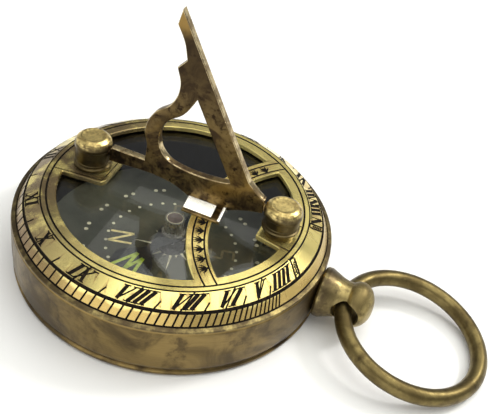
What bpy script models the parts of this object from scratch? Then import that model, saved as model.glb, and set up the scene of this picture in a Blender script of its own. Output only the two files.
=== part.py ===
"""Pocket sundial compass in antique brass: drum case, pierced dial, folding gnomon, compass, bow ring.

The part stands on its base at the origin. +X points from the centre to the pendant (south), +Z is up.
Profiles are (radius, height) pairs in millimetres; everything is scaled to metres when it is built.
"""
import math

import bpy
import bmesh
from mathutils import Matrix, Vector

MM = 0.001
COLLECTION = "pocket_sundial_compass"

# Driving dimensions, millimetres
CASE_R = 28.98          # outside of the drum
CASE_WALL = 1.78
DIAL_Z = 15.2           # flat top of the dial plate above the table
SEAM_TOP = 10.7         # dial plate sits on the drum here
SEAM_BASE = 1.38        # base cover meets the drum here
WINDOW_R = 21.3         # opening of the dial plate
DIAL_FLAT_R = 24.0      # the flat ring ends, the numeral cone begins
CONE_R = 26.9
CONE_DROP = 1.9
LADDER_R = 28.05
LADDER_DROP = 4.0
PLATE_T = 0.9
GAP = 0.05              # faces that touch in the real object
SEAT_R = 24.1           # bore under the dial plate that takes the glass
SKIRT_BORE_R = 25.4     # wider bore of the dial plate's skirt, around the compass bowl
SKIRT_LOW = 8.6
SHOULDER_Z = 11.15      # where the wide bore ends

NORTH_POST_X = -17.2
SOUTH_POST_X = 19.45
POST_H = 6.2
POST_COLLARS = {"north_post": 0.3, "south_post": 1.5}
POST_CAP_R = 3.4
PIVOT_Z = DIAL_Z + 4.2
PIVOT_R = 0.75
PIVOT_BORE_R = 0.82
TENON_R = 0.4
PLATE_THICK = 1.4       # gnomon plate
ARM_END = 13.7          # the gnomon's base bar reaches this far north
ARM_END_SOUTH = 15.9
STYLE_FOOT_X = 17.5     # where the line of the style meets the dial
STYLE_SLOPE = math.radians(60.7)

STRIP_CENTRE = (31.5, 0.8)  # arched strip across the window
STRIP_OUTER_R = 27.6
STRIP_INNER_R = 23.8

KNOB_Z = 5.8            # axis of the pendant
FLANGE_X = 29.05        # back of the pendant knob
HOLE_X = 34.7           # bow hole through the pendant
HOLE_R = 2.3
RING_R = 12.97          # bow ring, centre line
WIRE_R = 1.52
RING_PLAY = 0.65        # how far the wire lies inside the hole's axis
RING_LIFT = 0.04        # the resting ring just clears the table
SCREW_R = 1.0           # pendant screw
SCREW_HEAD_R = 2.2
SCREW_HEAD_T = 1.0
SCREW_HEAD_X = 25.45
SLOT_W = 0.5            # screwdriver slots

NEEDLE_Z = 5.6
NEEDLE_T = 0.25
NEEDLE_HEADING = math.radians(-105)
HUB_R = 1.87
HUB_TOP = 9.2

CARD_Z = 2.0            # underside of the compass card
FOOT_T = 0.9            # stop tab of the gnomon
FOOT_SLOT = 0.45        # what is left of it under the slot

STEPS = 64              # facets around the large turned pieces
HIDDEN_STEPS = 48       # around the large pieces inside the case
POST_STEPS = 32         # around the posts and the pendant
FINE_STEPS = 24         # around the small pieces


def material(name, colour, metallic, roughness, alpha=1.0):
    mat = bpy.data.materials.new(name)
    mat.use_nodes = True
    shader = mat.node_tree.nodes["Principled BSDF"]
    shader.inputs["Base Color"].default_value = (*colour, 1.0)
    shader.inputs["Metallic"].default_value = metallic
    shader.inputs["Roughness"].default_value = roughness
    shader.inputs["Alpha"].default_value = alpha
    return mat


def brass(name):
    return material(name, (0.60, 0.44, 0.16), 1.0, 0.35)


def dark_brass(name):
    return material(name, (0.26, 0.19, 0.08), 1.0, 0.42)


def steel(name):
    return material(name, (0.55, 0.55, 0.56), 1.0, 0.3)


def clear_glass(name):
    return material(name, (0.85, 0.92, 0.90), 0.0, 0.05, alpha=0.35)


def black_paper(name):
    return material(name, (0.02, 0.02, 0.02), 0.0, 0.6)


def new_object(name, mesh, make_material, collection):
    obj = bpy.data.objects.new(name, mesh)
    collection.objects.link(obj)
    mesh.materials.clear()
    mesh.materials.append(make_material(name + "_material"))
    return obj


def smooth(obj, angle=35):
    obj.data.shade_smooth()
    obj.data.set_sharp_from_angle(angle=math.radians(angle))


def turned(name, profile, make_material, collection, steps=STEPS, closed=True):
    """Turn a (radius, height) profile about Z. An open profile starts and ends on the axis."""
    mesh = bpy.data.meshes.new(name)
    points = [(r * MM, 0.0, z * MM) for r, z in profile]
    edges = [(i, i + 1) for i in range(len(points) - 1)]
    if closed:
        edges.append((len(points) - 1, 0))
    mesh.from_pydata(points, edges, [])
    obj = new_object(name, mesh, make_material, collection)
    screw = obj.modifiers.new("turn", "SCREW")
    screw.steps = steps
    screw.render_steps = steps
    screw.use_merge_vertices = True
    screw.merge_threshold = 0.000002
    screw.use_smooth_shade = True
    return obj


def cut(obj, cutter, operation="DIFFERENCE"):
    boolean = obj.modifiers.new(operation.lower() + "_" + cutter.name, "BOOLEAN")
    boolean.operation = operation
    boolean.object = cutter
    boolean.solver = "EXACT"


def as_cutter(obj):
    obj.hide_render = True
    obj.display_type = "WIRE"
    return obj


def cylinder_mesh(name, radius, length, sides):
    """A cylinder along Z, centred on the origin, in millimetres."""
    mesh = bpy.data.meshes.new(name)
    bm = bmesh.new()
    bmesh.ops.create_cone(bm, cap_ends=True, segments=sides, radius1=radius * MM, radius2=radius * MM,
                          depth=length * MM)
    bm.to_mesh(mesh)
    bm.free()
    return mesh


def cylinder(name, radius, length, centre, axis, make_material, collection, sides=FINE_STEPS):
    obj = new_object(name, cylinder_mesh(name, radius, length, sides), make_material, collection)
    obj.location = Vector(centre) * MM
    obj.rotation_euler = Vector(axis).to_track_quat("Z", "Y").to_euler()
    return obj


def box_mesh(name, size):
    mesh = bpy.data.meshes.new(name)
    bm = bmesh.new()
    bmesh.ops.create_cube(bm, size=1.0, matrix=Matrix.Diagonal((*(Vector(size) * MM), 1.0)))
    bm.to_mesh(mesh)
    bm.free()
    return mesh


def box(name, size, centre, make_material, collection):
    obj = new_object(name, box_mesh(name, size), make_material, collection)
    obj.location = Vector(centre) * MM
    return obj


def curve_mesh(curve_obj, name):
    """The filled curve as a welded mesh; the curve itself is removed."""
    graph = bpy.context.evaluated_depsgraph_get()
    mesh = bpy.data.meshes.new_from_object(curve_obj.evaluated_get(graph))
    mesh.name = name
    bm = bmesh.new()
    bm.from_mesh(mesh)
    bmesh.ops.remove_doubles(bm, verts=bm.verts, dist=0.000002)
    bm.to_mesh(mesh)
    bm.free()
    matrix = curve_obj.matrix_world.copy()
    bpy.data.objects.remove(curve_obj)
    return mesh, matrix


def flat_outline(name, loops, thickness, matrix, collection, edge=0.0, resolution=6):
    """Extrude closed outlines drawn in the XY plane; each point is (x, y, is_corner)."""
    curve = bpy.data.curves.new(name, "CURVE")
    curve.dimensions = "2D"
    curve.fill_mode = "BOTH"
    curve.extrude = (thickness / 2 - edge) * MM
    curve.bevel_depth = edge * MM
    curve.bevel_resolution = 1
    curve.offset = -edge * MM
    curve.resolution_u = resolution
    for loop in loops:
        spline = curve.splines.new("BEZIER")
        spline.bezier_points.add(len(loop) - 1)
        for point, (x, y, is_corner) in zip(spline.bezier_points, loop):
            point.co = (x * MM, y * MM, 0.0)
            handle = "VECTOR" if is_corner else "AUTO"
            point.handle_left_type = handle
            point.handle_right_type = handle
        spline.use_cyclic_u = True
    obj = bpy.data.objects.new(name + "_outline", curve)
    collection.objects.link(obj)
    obj.matrix_world = matrix
    bpy.context.view_layer.update()
    return curve_mesh(obj, name)


def arc(cx, cy, radius, start, end, count):
    """Points along an arc, angles in degrees, marked as corners so that the arc stays exact."""
    angles = [math.radians(start + (end - start) * i / (count - 1)) for i in range(count)]
    return [(cx + radius * math.cos(a), cy + radius * math.sin(a), True) for a in angles]


# ---------------------------------------------------------------- case

def case_body(parts, cutters):
    inner = CASE_R - CASE_WALL
    top = SEAM_TOP - GAP
    profile = [(CASE_R - 0.12, top), (CASE_R, top - 0.35), (CASE_R, 5.0), (CASE_R - 0.12, 2.3),
               (CASE_R - 0.3, SEAM_BASE + GAP), (inner, SEAM_BASE + GAP), (inner, top)]
    body = turned("case_body", profile, dark_brass, parts)
    hole = as_cutter(cylinder("pendant_hole", SCREW_R + GAP, 6, (CASE_R - 1, 0, KNOB_Z), (1, 0, 0),
                              dark_brass, cutters))
    cut(body, hole)
    return body


def base_cover(parts):
    spigot_out = CASE_R - CASE_WALL - GAP
    spigot_in = spigot_out - 0.9
    profile = [(0, SEAM_BASE), (spigot_in, SEAM_BASE), (spigot_in, 3.0), (spigot_out, 3.0),
               (spigot_out, SEAM_BASE), (CASE_R - 0.35, SEAM_BASE), (CASE_R - 0.2, 1.05),
               (CASE_R - 0.35, 0.5), (CASE_R - 1.0, 0.0), (0, 0)]
    return turned("base_cover", profile, dark_brass, parts, closed=False)


def dial_plate(parts, cutters):
    spigot_out = CASE_R - CASE_WALL - GAP
    under = DIAL_Z - PLATE_T
    profile = [(WINDOW_R, DIAL_Z), (DIAL_FLAT_R, DIAL_Z), (CONE_R, DIAL_Z - CONE_DROP),
               (LADDER_R, DIAL_Z - LADDER_DROP), (CASE_R - 0.1, SEAM_TOP + 0.25), (CASE_R - 0.05, SEAM_TOP),
               (spigot_out, SEAM_TOP), (spigot_out, SKIRT_LOW), (SKIRT_BORE_R, SKIRT_LOW),
               (SKIRT_BORE_R, SHOULDER_Z), (SEAT_R, SHOULDER_Z), (SEAT_R, under), (WINDOW_R, under)]
    plate = turned("dial_plate", profile, brass, parts)
    middle = Matrix.Translation((0, 0, (DIAL_Z - PLATE_T / 2) * MM))
    for name, outline in (("north_lug", north_lug_outline()), ("south_lug", south_lug_outline()),
                          ("arched_strip", strip_outline())):
        mesh, matrix = flat_outline(name, [outline], PLATE_T - 0.02, middle, cutters)
        web = as_cutter(new_object(name, mesh, brass, cutters))
        web.matrix_world = matrix
        cut(plate, web, "UNION")
    for x in (NORTH_POST_X, SOUTH_POST_X):
        cut(plate, post_screw_hole("screw_hole", x, cutters))
    return plate


def north_lug_outline():
    root = WINDOW_R + 1.2
    spread = 13.5
    return (arc(0, 0, root, 180 - spread, 180 + spread, 7)
            + [(-13.3, -4.1, True), (-12.8, -3.2, True), (-12.8, 3.2, True), (-13.3, 4.1, True)])


def south_lug_outline():
    root = WINDOW_R + 1.2
    spread = 10.5
    return arc(0, 0, root, -spread, spread, 7) + [(16.1, 2.7, True), (16.1, -2.7, True)]


def strip_outline():
    """A band about STRIP_CENTRE whose ends are buried in the ring of the dial plate."""
    cx, cy = STRIP_CENTRE
    far = math.hypot(cx, cy)
    lean = math.degrees(math.atan2(cy, cx))
    ring = WINDOW_R + 1.2

    def reach(radius):
        # half the angle of the arc that lies inside the middle of the ring
        return math.degrees(math.acos((radius ** 2 + far ** 2 - ring ** 2) / (2 * radius * far)))
    outer = reach(STRIP_OUTER_R)
    inner = reach(STRIP_INNER_R)
    facing = 180 + lean
    return (arc(cx, cy, STRIP_OUTER_R, facing - outer, facing + outer, 17)
            + arc(cx, cy, STRIP_INNER_R, facing + inner, facing - inner, 17))


# ---------------------------------------------------------------- posts

def post(name, x, pivot_side, parts, cutters):
    """A turned post. pivot_side is +1 or -1: the way its blind pivot bore opens along X."""
    base = DIAL_Z + GAP
    top = base + POST_H
    flange = base + POST_COLLARS[name]
    profile = [(0, top), (2.15, top), (2.6, top - 0.15), (3.1, top - 0.6), (POST_CAP_R, top - 1.35),
               (POST_CAP_R, top - 1.9), (3.2, top - 2.1), (3.2, flange + 0.75), (3.1, flange + 0.65),
               (3.1, flange + 0.5), (3.35, flange + 0.35), (3.35, flange), (2.6, flange - 0.1),
               (2.6, base), (0, base)]
    obj = turned(name, profile, brass, parts, steps=POST_STEPS, closed=False)
    obj.location.x = x * MM
    bore_length = 2.6
    bore_x = x + pivot_side * (POST_CAP_R - bore_length / 2 + 0.5)
    bore = as_cutter(cylinder(name + "_bore", PIVOT_BORE_R, bore_length + 1.0, (bore_x, 0, PIVOT_Z),
                              (1, 0, 0), brass, cutters))
    cut(obj, bore)
    cut(obj, post_screw_hole(name + "_thread", x, cutters))
    return obj


def post_screw_profile(low, clearance):
    """A countersunk screw that comes up from below; low is the height of its head's flat end."""
    under = DIAL_Z - PLATE_T
    head = 1.5 + clearance
    shank = 0.7 + clearance
    tip = under + 3.6 + clearance
    return [(0, tip), (shank, tip), (shank, under + 0.75 + clearance), (head, under + 0.1 + clearance),
            (head, low), (0, low)]


def post_screw_hole(name, x, cutters):
    """The cutter for a post screw's hole; it runs out below the dial plate."""
    profile = post_screw_profile(DIAL_Z - PLATE_T - 0.4, GAP)
    obj = turned(name, profile, steel, cutters, steps=FINE_STEPS, closed=False)
    obj.location.x = x * MM
    return as_cutter(obj)


def post_screw(name, x, parts, cutters):
    low = DIAL_Z - PLATE_T + 0.05
    obj = turned(name, post_screw_profile(low, 0.0), brass, parts, steps=FINE_STEPS, closed=False)
    obj.location.x = x * MM
    slot = box(name + "_slot", (4.0, SLOT_W, 0.8), (x, 0, DIAL_Z - PLATE_T), brass, cutters)
    cut(obj, as_cutter(slot))
    return obj


# ---------------------------------------------------------------- gnomon

def style_point(height, inward=0.0):
    """A point on the style's outer edge at a height above the dial, moved inward across the bar."""
    x = STYLE_FOOT_X - height / math.tan(STYLE_SLOPE)
    return (x - inward * math.sin(STYLE_SLOPE), height - inward * math.cos(STYLE_SLOPE))


def gnomon_loops():
    """Outline and opening of the gnomon plate: x along the noon line, height above the dial."""
    tip = style_point(36.0)
    foot = style_point(8.6)
    bar_top = 5.5
    outline = [
        (*tip, True), (*foot, True), (15.0, 6.6, False), (ARM_END_SOUTH, 6.05, True),
        (ARM_END_SOUTH, 3.2, True), (13.0, 2.5, False), (9.4, 1.0, True), (2.3, 1.0, True),
        (-1.5, 2.6, False), (-ARM_END, 2.5, True), (-ARM_END, bar_top - 0.5, True),
        (0.4 - ARM_END, bar_top, True), (-6.9, bar_top, True), (-6.7, 8.6, False), (-7.3, 11.7, False),
        (-5.9, 15.7, False), (-2.9, 18.7, False), (-1.8, 22.5, False), (-2.6, 25.7, True),
        (-1.1, 27.5, True), (-1.9, 30.5, False), (-3.35, 33.2, True)]
    apex = style_point(22.8, 3.7)
    inner_foot = style_point(9.0, 3.7)
    opening = [(*apex, True), (-0.5, 17.4, False), (-3.4, 14.7, False), (-4.5, 11.2, False),
               (-3.1, 7.8, False), (0.2, 6.5, False), (8.6, 6.9, False), (*inner_foot, True)]
    return [outline, opening]


def gnomon_plate(parts, cutters):
    upright = Matrix.Translation((0, 0, DIAL_Z * MM)) @ Matrix.Rotation(math.radians(90), 4, "X")
    mesh, matrix = flat_outline("gnomon_plate", gnomon_loops(), PLATE_THICK, upright, parts, edge=0.12,
                                resolution=5)
    mesh.transform(Matrix.Translation((0, 0, -PIVOT_Z * MM)) @ matrix)
    obj = new_object("gnomon_plate", mesh, dark_brass, parts)
    obj.location.z = PIVOT_Z * MM
    for name, x in (("north_tenon_hole", -ARM_END), ("south_tenon_hole", ARM_END_SOUTH)):
        hole = cylinder(name, TENON_R + GAP, 5.0, (x, 0, PIVOT_Z), (1, 0, 0), brass, cutters)
        cut(obj, as_cutter(hole))
    return obj


def pivot(name, outer_end, shoulder, tenon_end, parts):
    """A pivot pin along X: full size from outer_end to shoulder, then a tenon into the plate."""
    toward = 1 if shoulder > outer_end else -1
    length = abs(shoulder - outer_end)
    tenon = abs(tenon_end - shoulder)
    profile = [(0, length + tenon), (TENON_R, length + tenon), (TENON_R, length), (PIVOT_R, length),
               (PIVOT_R, 0.15), (PIVOT_R - 0.15, 0), (0, 0)]
    obj = turned(name, profile, dark_brass, parts, steps=FINE_STEPS, closed=False)
    obj.location = (outer_end * MM, 0, PIVOT_Z * MM)
    obj.rotation_euler = (0, math.radians(90) * toward, 0)
    return obj


def gnomon_foot(parts):
    """The stop tab under the gnomon: it lies on the arched strip while the gnomon stands.

    In front of the plate a polished ramp falls to the front, and a slot parts it from a narrow rib.
    """
    back = 0.4          # no further, or the edge digs into the strip as the gnomon turns
    under_plate = -PLATE_THICK / 2 - 0.02
    left, ramp_end, rib, right = 2.3, 7.7, 8.95, 9.5
    # along Y: height of the ramp, of the slot's floor and of the rib
    stations = [(back, FOOT_T, FOOT_T, FOOT_T), (under_plate, FOOT_T, FOOT_T, FOOT_T),
                (under_plate - 0.05, 1.5, FOOT_SLOT, 1.7), (-3.1, 0.5, FOOT_SLOT, 0.95),
                (-3.3, 0.4, FOOT_SLOT - 0.1, 0.85), (-3.7, 0.35, 0.3, 0.7)]
    low = DIAL_Z + GAP - PIVOT_Z
    bm = bmesh.new()
    rows = []
    for y, ramp_top, slot_floor, rib_top in stations:
        section = [(left, 0), (left, ramp_top), (ramp_end, ramp_top), (ramp_end, slot_floor),
                   (rib, slot_floor), (rib, rib_top), (right, rib_top), (right, 0)]
        rows.append([bm.verts.new((x * MM, y * MM, (low + z) * MM)) for x, z in section])
    for near, far in zip(rows, rows[1:]):
        for k in range(len(near)):
            m = (k + 1) % len(near)
            bm.faces.new((near[k], near[m], far[m], far[k]))
    bm.faces.new(rows[0])
    bm.faces.new(rows[-1][::-1])
    bmesh.ops.remove_doubles(bm, verts=bm.verts, dist=0.000002)
    bmesh.ops.recalc_face_normals(bm, faces=bm.faces)
    mesh = bpy.data.meshes.new("gnomon_foot")
    bm.to_mesh(mesh)
    bm.free()
    obj = new_object("gnomon_foot", mesh, dark_brass, parts)
    obj.location.z = PIVOT_Z * MM
    return obj


# ---------------------------------------------------------------- glass and compass

def glazing(parts, cutters):
    under = DIAL_Z - PLATE_T
    seat = SEAT_R - 0.15
    gasket_top = under - GAP
    glass_top = gasket_top - 0.3
    glass_low = glass_top - 1.1
    ring_top = glass_low - GAP
    ring(parts, "glass_gasket", 22.3, seat, glass_top + GAP, gasket_top, black_paper)
    pane = [(0, glass_top), (seat - 0.2, glass_top), (seat, glass_top - 0.2), (seat, glass_low),
            (0, glass_low)]
    turned("window_glass", pane, clear_glass, parts, steps=HIDDEN_STEPS, closed=False)
    ring_low = SHOULDER_Z + 0.15
    retainer = ring(parts, "glass_retaining_ring", 22.8, seat, ring_low, ring_top, steel)
    split = box("retainer_split", (8, 3, 4), (-SEAT_R, 0, ring_low), steel, cutters)
    cut(retainer, as_cutter(split))


def ring(parts, name, inner, outer, low, high, make_material):
    profile = [(outer, high), (outer, low), (inner, low), (inner, high)]
    return turned(name, profile, make_material, parts, steps=HIDDEN_STEPS)


def compass_bowl(parts):
    low = SEAM_BASE + GAP
    floor = low + 0.5
    rim = 11.05
    profile = [(0, floor), (24.5, floor), (24.5, rim), (25.1, rim), (25.1, low), (0, low)]
    return turned("compass_bowl", profile, dark_brass, parts, steps=HIDDEN_STEPS, closed=False)


def compass_card(parts):
    return ring(parts, "compass_card", 2.6, 24.3, CARD_Z, CARD_Z + 0.3, black_paper)


def pivot_boss(parts):
    profile = [(0.48, 3.0), (1.4, 3.0), (2.2, 2.5), (2.2, CARD_Z), (0.48, CARD_Z)]
    return turned("pivot_boss", profile, brass, parts, steps=FINE_STEPS)


def pivot_pin(parts):
    profile = [(0, 8.15), (0.4, 6.9), (0.4, CARD_Z), (0, CARD_Z)]
    return turned("pivot_pin", profile, steel, parts, steps=FINE_STEPS, closed=False)


def jewel_cup(parts):
    profile = [(0, 8.7), (1.2, 8.7), (1.2, 7.7), (0.9, 7.7), (0, 8.25)]
    return turned("jewel_cup", profile, brass, parts, steps=FINE_STEPS, closed=False)


def hub_cap(parts):
    """A clear cap over the bearing; it carries the needle by its flange."""
    low = NEEDLE_Z + NEEDLE_T + GAP
    profile = [(0, HUB_TOP), (HUB_R - 0.15, HUB_TOP), (HUB_R, HUB_TOP - 0.15), (HUB_R, low + 0.3),
               (2.2, low + 0.3), (2.2, low), (1.3, low), (1.3, 8.75), (0, 8.75)]
    return turned("hub_cap", profile, clear_glass, parts, steps=FINE_STEPS, closed=False)


def compass_needle(parts, cutters):
    """A flat needle with a spade at its north end, drawn pointing along +X."""
    half = [(3.4, 1.6, False), (6.2, 0.8, False), (8.2, 2.0, False), (10.4, 3.7, False),
            (13.2, 3.3, False), (15.6, 1.2, False)]
    mirrored = [(x, -y, corner) for x, y, corner in reversed(half)]
    tail = [(-2.6, -1.9, False), (-6.0, -0.8, False), (-13.5, -0.35, True), (-13.5, 0.35, True),
            (-6.0, 0.8, False), (-2.6, 1.9, False), (0.0, 2.6, False)]
    outline = half + [(16.6, 0, True)] + mirrored + [(0.0, -2.6, False)] + tail
    level = Matrix.Translation((0, 0, (NEEDLE_Z + NEEDLE_T / 2) * MM))
    heading = Matrix.Rotation(NEEDLE_HEADING, 4, "Z")
    mesh, matrix = flat_outline("compass_needle", [outline], NEEDLE_T, level @ heading, parts)
    obj = new_object("compass_needle", mesh, steel, parts)
    obj.matrix_world = matrix
    hole = cylinder("needle_hole", 1.2, 2, (0, 0, NEEDLE_Z), (0, 0, 1), steel, cutters)
    cut(obj, as_cutter(hole))
    return obj


# ---------------------------------------------------------------- pendant and bow

def along_x(obj, x):
    """Lay a piece that was turned about Z along +X, its zero at x, on the pendant's axis."""
    obj.location = (x * MM, 0, KNOB_Z * MM)
    obj.rotation_euler = (0, math.radians(90), 0)
    return obj


def knob_profile():
    """(radius, distance from the flange's back): flange, cone, waist and ball."""
    ball_centre = 7.05
    ball_half = 2.95
    ball_r = 4.15
    neck_r = 3.55
    bulge = []
    for i in range(9):
        angle = math.radians(90 - 100 * i / 8)
        bulge.append((0.2 + (ball_r - 0.2) * math.cos(angle), ball_centre + ball_half * math.sin(angle)))
    return ([(0, ball_centre + ball_half)] + bulge
            + [(3.85, 5.3), (neck_r, 4.5), (3.6, 3.6), (4.1, 2.5), (4.55, 1.5), (4.65, 0.7), (4.5, 0.0),
               (0, 0.0)])


def pendant_knob(parts, cutters):
    knob = turned("pendant_knob", knob_profile(), dark_brass, parts, steps=POST_STEPS, closed=False)
    along_x(knob, FLANGE_X)
    bow_hole = cylinder("bow_hole", HOLE_R, 14, (HOLE_X, 0, KNOB_Z), (0, 1, 0), dark_brass, cutters)
    cut(knob, as_cutter(bow_hole))
    thread = cylinder("knob_thread", SCREW_R + GAP, 6, (FLANGE_X, 0, KNOB_Z), (1, 0, 0), steel, cutters)
    cut(knob, as_cutter(thread))
    return knob


def pendant_screw(parts, cutters):
    tip = FLANGE_X + 2.8 - SCREW_HEAD_X
    profile = [(0, tip), (SCREW_R - 0.2, tip), (SCREW_R, tip - 0.2), (SCREW_R, SCREW_HEAD_T),
               (SCREW_HEAD_R, SCREW_HEAD_T), (SCREW_HEAD_R, 0.2), (SCREW_HEAD_R - 0.2, 0), (0, 0)]
    screw = turned("pendant_screw", profile, steel, parts, steps=FINE_STEPS, closed=False)
    along_x(screw, SCREW_HEAD_X)
    slot = box("pendant_screw_slot", (0.8, SLOT_W, 6), (SCREW_HEAD_X, 0, KNOB_Z), steel, cutters)
    cut(screw, as_cutter(slot))
    return screw


def pendant_washer(parts):
    start = SCREW_HEAD_X + SCREW_HEAD_T + GAP
    profile = [(2.35, 0.45), (2.35, 0), (SCREW_R + 0.1, 0), (SCREW_R + 0.1, 0.45)]
    return along_x(turned("pendant_washer", profile, steel, parts, steps=FINE_STEPS), start)


def bow_ring(parts):
    """A round wire ring through the pendant's hole, its far end lying on the table."""
    reach = 2 * RING_R - RING_PLAY
    droop = math.asin((KNOB_Z - WIRE_R - RING_LIFT) / reach)
    bpy.ops.mesh.primitive_torus_add(major_radius=RING_R * MM, minor_radius=WIRE_R * MM,
                                     major_segments=HIDDEN_STEPS, minor_segments=12)
    obj = bpy.context.object
    obj.name = "bow_ring"
    obj.data.name = "bow_ring"
    for collection in list(obj.users_collection):
        collection.objects.unlink(obj)
    parts.objects.link(obj)
    obj.data.transform(Matrix.Translation(((RING_R - RING_PLAY) * MM, 0, 0)))
    obj.data.materials.append(dark_brass("bow_ring_material"))
    obj.location = (HOLE_X * MM, 0, KNOB_Z * MM)
    obj.rotation_euler = (0, droop, 0)
    return obj


def main():
    for obj in list(bpy.data.objects):
        bpy.data.objects.remove(obj, do_unlink=True)
    parts = bpy.data.collections.new(COLLECTION)
    cutters = bpy.data.collections.new("cutters")
    bpy.context.scene.collection.children.link(parts)
    bpy.context.scene.collection.children.link(cutters)

    case_body(parts, cutters)
    base_cover(parts)
    dial_plate(parts, cutters)
    for name, x, side in (("north_post", NORTH_POST_X, 1), ("south_post", SOUTH_POST_X, -1)):
        post(name, x, side, parts, cutters)
        post_screw(name + "_screw", x, parts, cutters)
    gnomon_plate(parts, cutters)
    pivot("north_pivot_pin", NORTH_POST_X + 1.7, -ARM_END - GAP, 2.2 - ARM_END, parts)
    pivot("south_pivot_pin", SOUTH_POST_X - 1.6, ARM_END_SOUTH + GAP, ARM_END_SOUTH - 2.2, parts)
    gnomon_foot(parts)
    glazing(parts, cutters)
    compass_bowl(parts)
    compass_card(parts)
    pivot_boss(parts)
    pivot_pin(parts)
    jewel_cup(parts)
    hub_cap(parts)
    compass_needle(parts, cutters)
    pendant_knob(parts, cutters)
    pendant_screw(parts, cutters)
    pendant_washer(parts)
    bow_ring(parts)
    for obj in parts.objects:
        smooth(obj)


main()
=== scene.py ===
"""Looks for the pocket sundial compass: engraved brass, glass, printed card, studio light and camera.

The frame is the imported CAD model. Lengths are millimetres and angles degrees unless a name says otherwise.
+X points to the pendant, +Z is up, the noon line of the dial runs along -X and the morning hours are at -Y.
"""
from math import acos, asin, atan2, ceil, copysign, cos, degrees, hypot, pi, radians, sin, sqrt, tan

import bmesh
import bpy
from mathutils import Matrix, Vector, noise


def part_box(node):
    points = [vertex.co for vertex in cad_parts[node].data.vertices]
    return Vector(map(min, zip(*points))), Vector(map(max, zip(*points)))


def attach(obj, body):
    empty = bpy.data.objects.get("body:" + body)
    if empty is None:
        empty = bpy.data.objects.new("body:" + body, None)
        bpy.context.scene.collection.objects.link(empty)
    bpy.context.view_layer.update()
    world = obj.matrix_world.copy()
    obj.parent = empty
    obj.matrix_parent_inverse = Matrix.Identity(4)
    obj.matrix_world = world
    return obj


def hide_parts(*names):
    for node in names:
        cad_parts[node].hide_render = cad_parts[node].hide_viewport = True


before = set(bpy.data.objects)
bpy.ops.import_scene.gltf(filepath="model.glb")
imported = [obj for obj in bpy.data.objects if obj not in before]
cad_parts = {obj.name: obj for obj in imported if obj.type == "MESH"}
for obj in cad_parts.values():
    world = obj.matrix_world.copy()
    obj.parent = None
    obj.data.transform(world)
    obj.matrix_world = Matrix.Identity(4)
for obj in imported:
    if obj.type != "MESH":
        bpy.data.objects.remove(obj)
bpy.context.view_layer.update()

MM = 0.001

# Sizes the CAD model was built to
CASE_R = 28.98
CASE_WALL = 1.78
SPIGOT_R = CASE_R - CASE_WALL - 0.05  # dial and base cover fit into the case at this radius
DIAL_Z = 15.2
SEAM_TOP = 10.7
SEAM_BASE = 1.38
WINDOW_R = 21.3
FLAT_R = 24.0
CONE_R = 26.9
CONE_DROP = 1.9
LADDER_R = 28.05
LADDER_DROP = 4.0
PLATE_T = 0.9
SEAT_R = 24.1
SKIRT_BORE_R = 25.4
SKIRT_LOW = 8.6
SHOULDER_Z = 11.15
NORTH_POST_X = -17.2
SOUTH_POST_X = 19.45
POST_H = 6.2
PIVOT_Z = DIAL_Z + 4.2
ARM_END = 13.7
ARM_END_SOUTH = 15.9
STYLE_FOOT_X = 17.5
STYLE_SLOPE = radians(60.7)
STRIP_CENTRE = (31.5, 0.8)
STRIP_LEAN = degrees(atan2(STRIP_CENTRE[1], STRIP_CENTRE[0]))
STRIP_FAR = hypot(*STRIP_CENTRE)
STRIP_OUTER_R = 27.6
STRIP_INNER_R = 23.8
KNOB_Z = 5.8
FLANGE_X = 29.05
THREAD_R = 1.05  # hole for the pendant's screw
HOLE_X = 34.7
HOLE_R = 2.3
RING_R = 12.97
WIRE_R = 1.52
RING_PLAY = 0.65
RING_LIFT = 0.04
NEEDLE_Z = 5.6
NEEDLE_HEADING = radians(-105)
HUB_R = 1.87
HUB_TOP = 9.2
CARD_TOP = 2.3
DOTS_R, PAIRS_R = 12.3, 16.4  # circles of single and of paired dots

# Engraving
LINE_IN_R = 23.0  # single line on the flat ring
GROOVE_DEPTH = 0.15
NUMERAL_FOOT_R = 26.42  # the numerals stand on this circle, their tops toward the centre
NUMERAL_H = 2.45  # measured down the slope of the cone
NOON_GAP = 4.6  # the thick gnomon opens the hours away from noon by this much
HOUR_STEP = 14.4
TICKS_PER_HOUR = 6
LAST_HOUR = 8  # the ladder runs this many hours each side of noon
# widths of the strokes
HOUR_W, HALF_HOUR_W, RUNG_W, BORDER_W, BRACKET_W, LUG_W = 0.28, 0.30, 0.33, 0.32, 0.40, 0.20

STEPS = 256  # facets around the large turned pieces
SMALL_STEPS = 96
ON_AXIS = 1e-6  # a radius smaller than this is on the axis
SLIVER = 0.001  # shorter edges are dissolved after a cut
WELD = 0.000002  # metres; nearer vertices of a flat piece become one


# -------- mesh helpers

def link(name, data):
    """A new object in the scene for some data."""
    obj = bpy.data.objects.new(name, data)
    bpy.context.scene.collection.objects.link(obj)
    return obj


def rework(mesh, operation, parts, **settings):
    """Run one bmesh operation on all of a mesh's verts, edges or faces."""
    bm = bmesh.new()
    bm.from_mesh(mesh)
    operation(bm, **{parts: getattr(bm, parts)}, **settings)
    bm.to_mesh(mesh)
    bm.free()


def shade(obj, angle=38):
    """Smooth shading, with edges sharper than the angle left sharp."""
    obj.data.shade_smooth()
    obj.data.set_sharp_from_angle(angle=radians(angle))


def make_object(name, verts, faces, materials, slots=None):
    """A mesh object from points in millimetres, its faces turned outward."""
    mesh = bpy.data.meshes.new(name)
    mesh.from_pydata([(x * MM, y * MM, z * MM) for x, y, z in verts], [], faces)
    for material in materials:
        mesh.materials.append(material)
    if slots:
        mesh.polygons.foreach_set("material_index", slots)
    rework(mesh, bmesh.ops.recalc_face_normals, "faces")
    obj = link(name, mesh)
    shade(obj)
    return obj


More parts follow.
